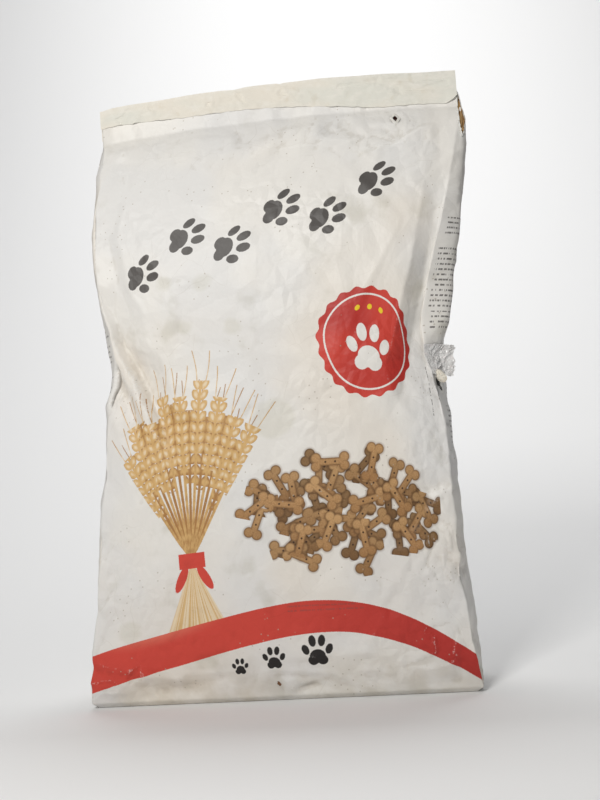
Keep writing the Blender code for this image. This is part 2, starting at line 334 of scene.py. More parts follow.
# a fan of ears about the tie, each a plait of kernels with awns
def earsOfGrain(look, place, shift, reach, dim):
    sheaf = frontPrint["sheaf"]
    x, y = look.parts(look.local(place, sheaf["tie"], sheaf["lean"]))
    angle = x.math("ARCTAN2", y)
    sector = sheaf["fan"]
    index = (angle / sector + shift).math("ROUND")
    turn = angle - (index - shift) * sector
    radius = look.length(look.join(x, y))
    wander = look.chance(index + 3.7 * shift + 8.1)
    tip = wander * 0.034 - abs(index - shift) * 0.0085 + reach * 0.80
    across = abs(turn * radius)
    kernelPitch = 0.0105
    grain = ((radius / kernelPitch).math("FRACT") - 0.5) * kernelPitch
    leanX = (across - 0.0044) * 0.87 - grain * 0.5
    leanY = (across - 0.0044) * 0.5 + grain * 0.87
    kernel = look.length(look.join(leanX / 0.0036, leanY / 0.0062)) - 1.0
    ear = (kernel * 0.0036).most((tip - 0.072 - radius).most(radius - tip))
    spine = (across - 0.0014).most(radius - tip)
    awnLine = abs(across - (radius - tip + 0.03) * 0.16) - 0.00045
    awn = awnLine.most(tip - 0.06 - radius).most(radius - tip - 0.030)
    beyond = abs(angle) - sector * (sheaf["ears"] / 2 - shift)
    tone = kernel.ramp(-1.0, 0.1) * 0.55 - radius * (0.30 / reach) + across * 25.0 + (dim + 0.30)
    return ear.least(spine).least(awn).most(beyond * 0.1), tone


def printSheaf(look, flat, place, color):
    straw, sheaf = frontPrint["straw"], frontPrint["sheaf"]
    x, y = look.parts(look.local(place, sheaf["tie"], sheaf["lean"]))
    down = 0.0 - y
    angle = x.math("ARCTAN2", down)
    straws = look.noise(look.join(angle * 26, down * 3), 1.0, 2.0)
    ragged = look.noise(look.join(angle * 60, 0.0), 1.0, 1.0)
    stalks = ((abs(angle) - 0.42) * 0.05).most(down - sheaf["tail"] * 0.78 - ragged * 0.022).most(y)
    color = look.mix(stalks.inside(0.0008), color, look.mix(straws.ramp(0.34, 0.62), straw[1], straw[0]))
    hairs = look.noise(look.stretch(flat, (420, 160, 1)), 1.0, 3.0)
    for shift, reach, dim in ((0.5, sheaf["reach"] * 0.90, 0.30), (0.0, sheaf["reach"], 0.0)):
        fan, tone = earsOfGrain(look, place, shift, reach, dim)
        tone = tone + hairs * 0.5 - 0.25
        ear = look.mix(tone.ramp(0.62, 1.05), look.mix(tone.ramp(0.15, 0.60), straw[0], straw[1]), straw[2])
        color = look.mix(fan.inside(0.0006), color, ear)
    ribbon = (abs(y) - 0.0075).most(abs(x) - 0.0135)
    tail = look.ellipse(look.join(abs(x), y), (0.012, -0.017), (0.0045, 0.014), 28)
    return look.mix(ribbon.least(tail).inside(), color, frontPrint["red"])


def printSeal(look, flat, place, color):  # a scalloped red disc with a white ring and paw in it
    seal = frontPrint["seal"]
    x, y = look.parts(look.local(place, seal["centre"], seal["turn"]))
    radius = look.length(look.join(x, y))
    angle = x.math("ARCTAN2", y)
    scallop = radius - seal["radius"] - (angle * 20).math("COSINE") * 0.0014
    ring = abs(radius - seal["radius"] * 0.87) - 0.0009
    inner = pawShape(look, x / 0.027, (y + 0.007) / 0.027) * 0.027
    dots = look.length(look.join(abs(abs(x) - 0.0068) - 0.0068, y - 0.0345 + x * x * 13.0)) - 0.0027
    red = look.mix(look.noise(flat, 14.0, 1.0).ramp(0.3, 0.7), frontPrint["red"], frontPrint["deepRed"])
    color = look.mix(scallop.inside(), color, red)
    color = look.mix(ring.least(inner).inside(), color, frontPrint["white"])
    return look.mix(dots.inside(), color, frontPrint["yellow"])


def printWave(look, flat, place, color):  # a red wave across the foot of the panel
    wave = frontPrint["wave"]
    x, y = look.parts(place)
    rise = (x * 15.0).math("SINE") * 0.012
    bent = look.join(x, y - rise)
    band = look.ellipse(bent, *wave["top"]).most(0.0 - look.ellipse(bent, *wave["bottom"]))
    glow = look.length(look.local(flat, (-0.120, 0.080), 12, (0.085, 0.022))).ramp(1.0, 0.1)
    red = look.mix(x.ramp(-0.05, 0.19), frontPrint["red"], frontPrint["deepRed"])
    return look.mix(band.inside(), color, look.mix(glow * 0.45, red, (0.83, 0.36, 0.24)))


def biscuitLayer(look, place, offset, seed, color, dim):  # whole biscuits, chosen by where their middle lies
    heap, tones = frontPrint["heap"], frontPrint["biscuit"]
    size = heap["biscuit"]
    shifted = look.local(place, offset)
    middle = look.cells(shifted, 1.0 / size, output=2, random=0.45)
    red, green = look.parts(middle.output(1))
    heapCentre = (heap["centre"][0] - offset[0], heap["centre"][1] - offset[1])
    inHeap = look.length(look.local(middle, heapCentre, 0, heap["half"])) - 1.0
    away = look.node("ShaderNodeVectorMath", dict(operation="SUBTRACT"), [shifted, middle])
    turned = look.node("ShaderNodeVectorRotate", dict(rotation_type="Z_AXIS"),
                       {"Vector": away, "Angle": red * 5.4 + seed})
    body = boneShape(look, turned, size * 0.50)
    light = look.parts(away)[1] * (0.9 / size) + green * 0.5
    grain = look.noise(place, 700.0, 2.0)
    lit = (light + grain * 1.1 - 0.30).math("MAXIMUM", 0.0, clamp=True)
    top, side = (tuple(c * dim for c in tone) for tone in tones[:2])
    face = look.mix(lit, side, top)
    face = look.mix((body + 0.0022).ramp(0.0, 0.0026), face, tuple(c * 0.50 for c in side))
    holes = look.length(look.join(abs(look.parts(turned)[0]) - size * 0.13, look.parts(turned)[1])) - 0.0010
    face = look.mix(holes.inside(0.0006), face, tones[2])
    inside = inHeap.inside(0.001)
    color = look.shade(color, (body - 0.0008).inside(0.0030) * inside * 0.75, (0.45, 0.36, 0.30))
    return look.mix(body.inside(0.0006) * inside, color, face)


def printBiscuits(look, flat, color):
    for offset, seed, dim in frontPrint["heapLayers"]:
        color = biscuitLayer(look, flat, offset, seed, color, dim)
    return color


def printSteps(look, place, color):
    steps = [paw(look, place, centre, size) for centre, size in frontPrint["steps"]]
    return look.mix(look.union(steps).inside(), color, frontPrint["black"])


finePrint = dict(  # small print as rows of bars, in metres on the flat paper: left, right, low, high
    pitch=0.0052,
    blocks=[(0.197, 0.246, 0.352, 0.372), (0.195, 0.250, 0.376, 0.438), (0.197, 0.244, 0.448, 0.466),
            (0.200, 0.248, 0.235, 0.278), (0.262, 0.302, 0.120, 0.300), (0.262, 0.300, 0.330, 0.470),
            (0.762, 0.806, 0.296, 0.330), (0.760, 0.806, 0.340, 0.392), (0.702, 0.742, 0.150, 0.420)],
    red=[((0.232, 0.500), (0.010, 0.016), 20), ((0.236, 0.412), (0.009, 0.0035), -6),
         ((0.238, 0.346), (0.009, 0.0035), -6), ((0.764, 0.336), (0.006, 0.0030), 6)],
    yellow=[((0.236, 0.420), (0.006, 0.0030)), ((0.238, 0.354), (0.006, 0.0030))],
)


def rowsOfBars(look, x, y, blocks, pitch, seed=0.0):
    row = (y / pitch).math("FLOOR")
    inRow = abs((y / pitch).math("FRACT") - 0.5) - 0.17
    bars = look.noise(look.join(x * 620, row * 7.3 + seed), 1.0, 1.0)
    rowEnd = look.chance(row + seed)
    shapes = []
    for left, right, low, high in blocks:  # each row ends somewhere in the last third
        sideways = (left - x).most(x - right + rowEnd * (right - left) * 0.35)
        shapes.append(sideways.most(low - y).most(y - high))
    return look.union(shapes).inside(0.0006) * inRow.inside(0.12) * bars.ramp(0.44, 0.50)


def printSides(look, place, color):
    x, y = look.parts(place)
    bars = rowsOfBars(look, x, y, finePrint["blocks"], finePrint["pitch"])
    color = look.mix(bars * 0.85, color, frontPrint["charcoal"])
    for ink in ("red", "yellow"):
        marks = look.union([look.ellipse(place, *mark) for mark in finePrint[ink]])
        color = look.mix(marks.inside(), color, frontPrint[ink])
    return color


def printFront(look, flat, place, color):
    color = printTrail(look, place, color)
    color = printSheaf(look, flat, place, color)
    color = printSeal(look, flat, place, color)
    color = printWave(look, flat, place, color)
    color = printBiscuits(look, flat, color)
    color = printSteps(look, place, color)
    x, y = look.parts(place)
    edgeLine = rowsOfBars(look, y, x, [(0.268, 0.344, 0.1740, 0.1770)], 0.003, 4.0)
    dateMark = rowsOfBars(look, x, y, [(0.010, 0.090, 0.086, 0.095)], 0.0045, 9.0) * 0.35
    return look.mix((edgeLine * 0.85).most(dateMark), color, frontPrint["charcoal"])


sackForm = dict(
    panelWidth=380, gussetWidth=120,  # the paper, flat
    crownX=60, crownCurve=0.24 / 1000, crownStart=450, crownEnd=596,
    shoulder=0.22, squareness=3.0,
    columns=(150, 36, 72, 30),  # front, right gusset, back, left gusset
    rows=[(0, 8, 7), (8, 60, 27), (60, 520, 206), (520, 600, 55), (600, 632, 15)],  # from, to, how many
    # height, left side, right side, left shoulder, right shoulder, half depth, bulge, gusset fold
    stations=[
        (0, -187, 188, 0, 0, 47, 0, 0),
        (5, -193, 194, 0.5, 0.5, 52, 0, 0.5),
        (50, -192, 192.5, 4, 6, 59, 3, 3),
        (120, -185, 189, 7, 9, 60, 9, 3),
        (220, -174, 185, 7, 8, 61, 12, 3),
        (300, -165.5, 183.5, 9, 10, 60, 12.5, 3.5),
        (335, -158.5, 183.5, 11, 15, 59, 12, 4),
        (370, -162, 189.5, 9, 22, 59, 11.5, 4),
        (430, -170, 201, 6, 21, 57, 9.5, 4),
        (500, -172, 212.5, 6, 16, 46, 6, 6),
        (545, -170, 218.5, 9, 12, 31, 3, 20),
        (575, -166, 220.5, 6, 8, 16, 1, 30),
        (590, -163.5, 219.5, 2, 6, 6, 0, 16),
        (596, -163, 219, 0, 5.5, 1.4, 0, 0),
        (608, -163, 217, 0, 3.5, 1.4, 0, 0),
        (618, -163, 213.5, 0, 0, 1.4, 0, 0),
        (632, -163, 213.5, 0, 0, 1.4, 0, 0),
    ],
)

# Folds in the front panel, each a line of (x, height, relief) in millimetres; relief is out of the panel
frontFolds = [
    # the long fold beside the right edge and the dent under it
    [(190, 520, -1), (183, 480, -5), (174, 440, -9), (166, 401, -13), (157, 365, -14), (146, 330, -12),
     (137, 300, -6), (132, 285, -1)],
    [(176, 510, 0), (162, 470, 2), (146, 420, 4.5), (128, 365, 5.5), (112, 320, 4.5), (98, 285, 1)],
    [(195.5, 505, -2), (186.5, 470, -5.5), (179, 435, -9.5), (171.5, 397, -13.5), (165.5, 365, -16),
     (166, 335, -15), (170, 305, -10), (171, 280, -4), (168, 262, -1)],
    # the two tucks at the left waist, with a rounded roll between them
    [(-156, 420, -1), (-148, 390, -6), (-142, 362, -11), (-132, 340, -16), (-117, 309, -15), (-105, 282, -9),
     (-97, 252, -1)],
    [(-152, 372, 1), (-147, 352, 3.5), (-139, 334, 6), (-129, 316, 6), (-122, 297, 4.5), (-116, 276, 1)],
    [(-152, 345, -4), (-146, 324, -8), (-137, 304, -9), (-130, 285, -6), (-124, 262, -1)],
    # the slack facet above them
    [(-130, 520, 0.5), (-134, 470, 2.5), (-124, 430, 4), (-108, 405, 4.5), (-104, 378, 4),
     (-100, 350, 2), (-90, 300, 0.5)],
    [(-150, 470, -3), (-142, 430, -4), (-128, 385, -4), (-120, 355, -2)],
    # crumples under the closing strip
    [(84, 590, -0.6), (99, 590, -1.2), (116, 583, -1.2), (131, 579, -0.4), (147, 576, -1.2)],
    [(80, 575, -4), (102, 569, -5.5), (118, 563, -4), (128, 566, -5), (142, 560, -5.5),
     (153, 561, -4), (180, 575, -1.5)],
    [(126, 522, 2), (142, 537, 3), (164, 556, 2.5), (184, 568, 1)],
    [(-47, 590, 0.6), (-36, 577, 3), (-31, 566, 2.4), (-29, 545, 0)],
    [(-80, 588, 0.8), (-57, 573, 3), (-45, 556, 3), (-40, 525, 0)],
    [(-112, 583, 0.4), (-90, 569, 2.4), (-70, 555, 0)],
    [(-20, 588, -0.5), (-12, 570, -2.2), (-4, 545, -0.5)],
    [(43, 588, 0.4), (50, 571, 2.8), (60, 545, 0)],
    [(20, 589, 1), (28, 578, -2.8), (36, 588, 0.6)],
    [(56, 590, 1), (70, 583, 2), (76, 568, -1.2)],
    [(94, 553, 2), (84, 528, 0.4)],
    [(192, 575, -1.4), (190, 530, -1.4)],
    [(-150, 560, -1.5), (-136, 545, 1.5), (-120, 552, -1)],
    # the right flank below the waist
    [(150, 262, 0.6), (157, 250, 3), (163, 233, 2)],
    [(141, 233, 0.8), (150, 226, 2.6), (165, 221, 2)],
    [(139, 205, -2), (158, 196, -5.5), (172, 202, -2)],
    [(165, 190, 1.2), (171, 181, 3.2), (177, 170, 1.2)],
    [(146, 172, -4), (160, 166, -4.6), (172, 154, -2)],
    [(150, 140, 2), (164, 128, 3.2), (176, 132, 1)],
    [(98, 92, 0.4), (120, 86, 2.6), (138, 84, 4), (160, 90, 4.4), (178, 98, 2)],
    [(176, 132, 1), (178, 116, -2.6), (183, 101, -2)],
    # the left flank and the fold above the base
    [(-171, 127, 1.2), (-165, 113, -2.6), (-168, 100, 1.6), (-149, 89, 3.2), (-128, 84, 0)],
    [(-176, 180, 0), (-166, 150, -2.6), (-160, 120, -1)],
    [(-188, 52, 1), (-170, 46, 2.6), (-141, 41, 2.6), (-105, 37, 1.8), (-21, 36, 1.6), (86, 36, 1.6),
     (130, 37, 2.2), (160, 44, 2.8), (176, 52, 2.8), (189, 62, 1)],
    [(-186, 40, -1.5), (-168, 35, -1.2), (-140, 30, -1)],
    [(173, 33, -2), (171, 10, -2)],
    [(-150, 24, -2.4), (-118, 14, -5), (-84, 20, -2)],
    [(-150, 24, -2.4), (-132, 33, 1.5), (-100, 28, 1)],
    [(-6, 26, -1.2), (10, 17, 2), (16, 10, -4), (44, 20, -1.6)],
    [(44, 20, -1.6), (62, 28, 2), (84, 20, -1), (110, 26, 1.4)],
]

# Where the paper is more crumpled: (x, height, half width, half height, strength), on the front panel
crumpleSpots = [
    (172, 150, 40, 120, 1.9), (150, 50, 60, 36, 1.2), (-182, 150, 30, 130, 1.3), (-150, 335, 30, 60, 1.2),
    (20, 572, 220, 34, 1.5), (165, 330, 30, 80, 1.0), (-150, 30, 60, 36, 1.2), (70, 110, 110, 60, 0.30),
    (120, 560, 60, 30, 0.9), (0, 20, 200, 20, 0.7),
]

crumpleLayers = [  # spacing and height of the random facets in millimetres, rounding, seed
    dict(spacing=44, height=2.3, passes=1, seed=11, even=0.60),
    dict(spacing=19, height=1.15, passes=0, seed=12, even=0.16),
    dict(spacing=9, height=0.45, passes=0, seed=13, even=0.06),
]


def stationValues(height):
    table = np.array(sackForm["stations"], float)
    return [curveThrough(height, table[:, 0], table[:, i]) for i in range(1, 8)]


def crowned(x, height):  # the top edge is a shallow arch
    start, end = sackForm["crownStart"], sackForm["crownEnd"]
    share = smooth((height - start) / (end - start))
    return height - share * sackForm["crownCurve"] * (x - sackForm["crownX"]) ** 2


def seamWave(x, height):  # the flat top strip is not quite straight, in millimetres of depth
    wave = 1.3 * np.sin(x / 61 + 0.6) + 0.6 * np.sin(x / 23) + 3.5 * smooth((-149 - x) / 15)
    return wave * smooth((height - 560) / 36)


def gussetReach(share, shoulder, fold):
    near = np.minimum(share, 1 - share)
    turn = sackForm["shoulder"]
    rounded = shoulder * np.sin(0.5 * np.pi * np.clip(near / turn, 0, 1))
    return rounded - fold * np.clip((near - turn) / (0.5 - turn), 0, 1)


def sackColumns():
    zone, share = [], []
    for index, (count, crowding) in enumerate(zip(sackForm["columns"], (0.38, 0.45, 0.2, 0.3))):
        part = spread(count, crowding)[:-1]
        zone += [index] * count
        share += part.tolist()
    zone.append(3)
    share.append(1.0)
    return np.array(zone), np.array(share)


def sackRows():
    parts = [np.linspace(*part) for part in sackForm["rows"]]
    return np.unique(np.concatenate(parts).round(4))


# paper place on a panel: true to size, except near its edges, where it is tucked
def onPanel(x, leftEdge, rightEdge):
    half = (rightEdge - leftEdge) / 2
    away = x - (rightEdge + leftEdge) / 2
    return away + np.sign(away) * (sackForm["panelWidth"] / 2 - half) * np.abs(away / half) ** 4


# place along the unrolled paper, from the front panel's middle
def paperAcross(zone, share, leftEdge, rightEdge):
    width, side = sackForm["panelWidth"], sackForm["gussetWidth"]
    x = leftEdge + (rightEdge - leftEdge) * share
    front = onPanel(x, leftEdge, rightEdge)
    back = width + side + onPanel(x, leftEdge, rightEdge)
    rightSide = width / 2 + side * share + 0 * x
    leftSide = 1.5 * width + side + side * share + 0 * x
    return np.choose(zone, [front, rightSide, back, leftSide])


def frontPaper(x, height):  # paper place of a point that is given by its x on the front panel
    left, right, leftShoulder, rightShoulder = stationValues(height)[:4]
    return onPanel(x, left + leftShoulder, right - rightShoulder)


def crumpleAmount(across, height):
    amount = np.full(across.shape, 0.0)
    for x, z, halfWidth, halfHeight, strength in crumpleSpots:
        place = frontPaper(x, np.array(float(z)))
        distance = ((across - place) / halfWidth) ** 2 + ((height - z) / halfHeight) ** 2
        amount += strength * np.exp(-distance)
    beyond = np.abs(across) > sackForm["panelWidth"] / 2
    return np.where(beyond, np.maximum(amount, 0.8), amount)


def reliefLayer(layer, across, height, folds):
    rng = np.random.default_rng(layer["seed"])
    around = 2 * (sackForm["panelWidth"] + sackForm["gussetWidth"])
    start = -sackForm["panelWidth"] / 2
    spacing = layer["spacing"]
    points, lines, foldPoints = [], [], []
    for fold in folds:
        first = len(points)
        for x, z, relief in fold:
            points.append((float(frontPaper(x, np.array(float(z)))), float(z), float(relief)))
        lines += [(first + i, first + i + 1) for i in range(len(fold) - 1)]
        dense = np.array(points[first:])
        for a, b in zip(dense[:-1], dense[1:]):
            foldPoints += [a[:2] + (b[:2] - a[:2]) * t for t in np.linspace(0, 1, 6)]
    foldPoints = np.array(foldPoints) if foldPoints else np.full((1, 2), 1e6)
    columns = int(around / spacing)
    scattered = []
    for i in range(columns):
        for j in range(-1, int(640 / spacing) + 2):
            jitter = rng.random(2) * 0.9
            place = start + (i + 0.05 + jitter[0]) * around / columns
            z = (j + jitter[1]) * spacing
            lift = rng.uniform(-1, 1)
            scattered.append((place, z, lift))
    scattered = np.array(scattered)
    amount = layer["even"] + crumpleAmount(scattered[:, 0], scattered[:, 1])
    scattered[:, 2] *= layer["height"] * amount
    distance = np.min(np.hypot(scattered[:, None, 0] - foldPoints[None, :, 0],
                               scattered[:, None, 1] - foldPoints[None, :, 1]), axis=1)
    scattered = scattered[distance > 0.42 * spacing]
    for shift in (-around, 0, around):  # the pattern runs on round the sack
        for place, z, lift in scattered:
            if start - 80 < place + shift < start + around + 80:
                points.append((place + shift, z, lift))
    return netHeights(points, lines, across, height)


tear = dict(  # the split along the right front edge, in millimetres on the flat paper
    centre=(200.0, 584), half=(8.5, 26), depth=2.6, kraft=(0.52, 0.33, 0.145), shade=(0.15, 0.078, 0.034),
    light=(0.68, 0.48, 0.24), white=(0.84, 0.83, 0.79),
)


def tearEdge(up):  # half width of the split at a height: straight at the front, ragged behind
    t = np.clip((up - tear["centre"][1]) / tear["half"][1], -1, 1)
    return tear["half"][0] * (1 - np.abs(t) ** 1.7) ** 0.8


def tearDepth(across, up):  # how far the paper is pushed in at the split
    width = np.maximum(tearEdge(up), 0.01)
    away = np.abs(across - tear["centre"][0]) / width
    inside = np.abs(up - tear["centre"][1]) < tear["half"][1]
    return np.where(inside, tear["depth"] * smooth((1.12 - away) / 0.35) * smooth(width / 3), 0)


puncture = dict(  # the small kite-shaped hole under the strip, in millimetres on the front panel
    # the near-black colour is painted shade inside the hole
    centre=(149.5, 583), inner=3.5, recess=2.0, white=(0.84, 0.82, 0.77), holeShade=(0.030, 0.012, 0.009),
    kite=(0.80, 0.95, 1.35),  # reach to the sides, up and down
    rings=[(0.12, -1.5), (0.85, -1.3), (1.0, 0.1), (1.10, 0.85), (1.32, 0.62), (1.65, 0.22), (2.15, -0.12)],
)


def punctureDepth(away):  # how far the paper is pushed in round the hole
    return puncture["recess"] * smooth((2.05 * puncture["inner"] - away) / puncture["inner"])


def makeSack():
    zone, share = sackColumns()
    height = sackRows()[:, None]
    left, right, leftShoulder, rightShoulder, depth, bulge, fold = stationValues(height)
    leftEdge, rightEdge = left + leftShoulder, right - rightShoulder
    swell = bulge * (1 - np.abs(2 * share - 1) ** sackForm["squareness"])
    xByZone = [
        leftEdge + (rightEdge - leftEdge) * share,
        rightEdge + gussetReach(share, rightShoulder, fold),
        rightEdge + (leftEdge - rightEdge) * share,
        leftEdge - gussetReach(share, leftShoulder, fold),
    ]
    yByZone = [-depth - swell, -depth + 2 * depth * share, depth + swell, depth - 2 * depth * share]
    x = np.choose(zone, xByZone)
    y = np.choose(zone, yByZone)
    base = np.stack([x, y + seamWave(x, height), crowned(x, height + 0 * x)], axis=2)
    across = paperAcross(zone, share, leftEdge, rightEdge)
    up = height + 0 * x

    relief = np.zeros(x.shape)
    for index, layer in enumerate(crumpleLayers):
        field = reliefLayer(layer, across, up, frontFolds if index == 0 else [])
        relief += softened(field, layer["passes"])
    relief[:, -1] = relief[:, 0]
    inFront = np.where(zone == 0, np.clip(12 * np.minimum(share, 1 - share), 0, 1), 0)
    underStrip = 0.6 * smooth((622 - up) / 12) * inFront  # the flat seam is crumpled too, in front
    relief *= smooth(up / 14) * np.maximum(smooth((597 - up) / 16), underStrip)
    relief = np.where(up > 592, np.maximum(relief, -0.9), relief)
    holeX, holeUp = puncture["centre"]
    fromHole = np.hypot(across - frontPaper(holeX, np.array(float(holeUp))), up - holeUp)
    relief -= tearDepth(across, up) + punctureDepth(fromHole)
    normal = normalsOf(base[:, :-1], closed=True)
    normal = np.concatenate([normal, normal[:, :1]], axis=1)
    shaped = base + normal * relief[:, :, None]
    shaped[..., 2] = np.maximum(shaped[..., 2], 0)
    shaped[0, :, 2] = 0

    bend = relief - softened(relief, 2)  # ridges are positive, valleys negative
    uvs = np.stack([across, up], axis=2) / 1000
    piece, row, column = gridPiece("paper_sack", shaped * mm, uvs=uvs)
    crease = piece.data.attributes.new("crease", "FLOAT", "POINT")
    crease.data.foreach_set("value", bend[row, column].astype(np.float32))
    editAll("remove_doubles", threshold=1e-6)
    for closing in (0, 1):  # the open ends are filled: the flat base and the top edge under the strip
        bpy.ops.object.mode_set(mode="EDIT")
        bpy.ops.mesh.select_all(action="DESELECT")
        bpy.ops.object.mode_set(mode="OBJECT")
        low, high = (-1, 1e-5) if closing == 0 else (600 * mm, 1)
        for edge in piece.data.edges:
            edge.select = False
        loops = np.zeros(len(piece.data.edges), int)
        for polygon in piece.data.polygons:
            for key in polygon.loop_indices:
                loops[piece.data.loops[key].edge_index] += 1
        for edge in piece.data.edges:
            z = piece.data.vertices[edge.vertices[0]].co.z
            edge.select = bool(loops[edge.index] == 1 and low < z < high)
        bpy.ops.object.mode_set(mode="EDIT")
        bpy.ops.mesh.select_mode(type="EDGE")
        bpy.ops.mesh.fill() if closing else bpy.ops.mesh.edge_face_add()
        bpy.ops.object.mode_set(mode="OBJECT")
    paperZones(piece)
    piece.data.shade_smooth()
    values = np.concatenate([shaped, normal], axis=2)
    return piece, dict(heights=up[:, 0], across=across, values=values)


def paperZones(piece):  # the front panel, both gussets and the back are printed differently
    layer = piece.data.uv_layers["paper"].data
    edge, side = sackForm["panelWidth"] / 2000, sackForm["gussetWidth"] / 1000
    for polygon in piece.data.polygons:
        across = sum(layer[i].uv[0] for i in polygon.loop_indices) / polygon.loop_total
        gusset = edge < across < edge + side or across > 3 * edge + side
        polygon.material_index = 0 if across < edge else 1 if gusset else 2


def onPaper(sheet, across, up):  # place and outward normal on the sack, for a point of the flat paper
    heights = sheet["heights"]
    row = int(np.clip(np.searchsorted(heights, up) - 1, 0, len(heights) - 2))
    share = (up - heights[row]) / (heights[row + 1] - heights[row])
    found = []
    for level in (row, row + 1):
        places, values = sheet["across"][level], sheet["values"][level]
        found.append([np.interp(across, places, values[:, k]) for k in range(6)])
    both = np.array(found[0]) * (1 - share) + np.array(found[1]) * share
    return both[:3], both[3:] / np.linalg.norm(both[3:])


# facets on a small sheet, read at any place on it
def crumple(width, height, spacing, lift, seed, lines=()):
    rng = np.random.default_rng(seed)
    points, constraints = [], []
    for line in lines:
        first = len(points)
        points += [tuple(map(float, point)) for point in line]
        constraints += [(first + i, first + i + 1) for i in range(len(line) - 1)]
    for x in np.arange(-spacing, width + 2 * spacing, spacing):
        for y in np.arange(-spacing, height + 2 * spacing, spacing):
            place = np.array((x, y)) + rng.uniform(-0.45, 0.45, 2) * spacing
            value = rng.uniform(-1, 1) * lift
            if all(math.dist(place, point[:2]) > 0.45 * spacing for point in points[:sum(map(len, lines))]):
                points.append((*place, value))
    return lambda across, up: netHeights(points, constraints, across, up)


closingStrip = dict(
    left=-164.5, right=215, gap=0.4, thickness=0.35, columns=240, rows=(30, 6, 20),
    frontLeg=[(-165, 18), (-127, 19), (-56, 22.5), (-29, 22.5), (20, 24), (99, 30.5), (135, 34), (175, 33),
              (203, 33), (210, 30), (216, 25)],
    backLeg=[(-165, 30), (216, 18)],
    folds=[  # along the strip, below its top edge, relief
        [(48, 1, 0.2), (42, 9, 1.5), (36, 15, 1.6), (30, 19, 1.2)],
        [(52, 1, 0), (46, 10, -0.1), (40, 19, 0.1)],
        [(48, 4, 1.3), (56, 3, 1.0), (64, 1, 0.3)],
        [(146, 0, 0.2), (150, 7, 0.9), (156, 15, 0.7), (154, 23, 0)],
        [(195, 0, 0.1), (197, 8, 0.9), (204, 14, 0.5)],
        [(236, 12, 0), (262, 9, 0.8), (300, 6, 0.9), (340, 5, 1.0), (372, 8, 0.6)],
        [(290, 20, 0), (320, 17, 0.8), (350, 16, 0.9), (378, 15, 0.5)],
        [(110, 20, 0.1), (118, 12, 0.7), (132, 6, 0.3)],
    ],
    foldScale=1.7, cream=(0.815, 0.765, 0.675), pale=(0.85, 0.820, 0.750), cool=(0.760, 0.750, 0.680),
    dirt=(0.84, 0.79, 0.71),
)


def makeStrip(sheet):  # paper strip folded over the top edge, glued down by hand and a little askew
    spec = closingStrip
    x = np.linspace(spec["left"], spec["right"], spec["columns"])
    front, turn, back = spec["rows"]
    frontLeg = curveThrough(x, *np.array(spec["frontLeg"]).T)
    backLeg = curveThrough(x, *np.array(spec["backLeg"]).T)
    frontLeg = frontLeg + 0.25 * np.sin(x / 3.1) + 0.2 * np.sin(x / 1.7 + 2)
    folds = crumple(380, 36, 13, 0.60, 31, [[(x, y, lift * spec["foldScale"]) for x, y, lift in fold]
                                            for fold in spec["folds"]])
    fine = crumple(380, 36, 5, 0.16, 32)
    places, uvs = [], []
    for row in range(front + turn + back + 1):
        if row <= front:
            below = frontLeg * (1 - row / front)
        elif row < front + turn:
            below = 0 * x
        else:
            below = backLeg * (row - front - turn) / back
        along = x - spec["left"]
        relief = folds(along, np.maximum(below, 0.0)) + fine(along, below)
        relief = np.maximum(relief, -0.3) * smooth(below / 4)
        up = 632 - below
        line = []
        for i, here in enumerate(x):
            inside = min(max(here, -162.5), 212.5)
            flat = float(np.clip(frontPaper(inside, np.array(up[i])), -189.5, 189.5))
            frontY = onPaper(sheet, flat, up[i])[0][1]
            wave = seamWave(here, up[i])
            rise = crownLift(here)
            if row <= front:
                loose = 2.6 * smooth((here - 200) / 15) * smooth((below[i] - 14) / 14)
                y = min(frontY, wave - 1.4) - spec["gap"] - relief[i] - loose
                z = crowned(here, up[i]) + rise * smooth(1 - below[i] / 5)
            elif row < front + turn:
                angle = math.pi * (row - front) / turn
                y = wave - (1.4 + spec["gap"]) * math.cos(angle)
                z = crowned(here, 632) + rise + 0.6 * math.sin(angle)
            else:
                y = wave + 1.4 + spec["gap"] + relief[i]
                z = crowned(here, up[i]) + rise * smooth(1 - below[i] / 5)
            line.append((here, y, z))
        places.append(line)
        side = np.where(row <= front, -below, below + 2)
        uvs.append(np.stack([x / 1000, side / 1000], axis=1))
    strip = gridPiece("closing_strip", np.array(places) * mm, uvs=np.array(uvs))[0]
    thicken(strip, spec["thickness"])
    return strip


def crownLift(x):  # the folded edge stands a little above the sack, and is nicked in two places
    lift = 1.1 + 0.45 * math.sin(x / 37) + 0.25 * math.sin(x / 11 + 1)
    return lift - 1.1 * math.exp(-((x + 18) / 8) ** 2) - 0.9 * math.exp(-((x - 31) / 2.5) ** 2)


def thicken(piece, thickness, offset=0.0):
    shell = piece.modifiers.new("shell", "SOLIDIFY")
    shell.thickness = thickness * mm
    shell.offset = offset
    bpy.ops.object.select_all(action="DESELECT")
    piece.select_set(True)
    bpy.context.view_layer.objects.active = piece
    bpy.ops.object.modifier_apply(modifier="shell")
    piece.data.shade_smooth()
    bpy.ops.object.shade_smooth_by_angle(angle=math.radians(50))


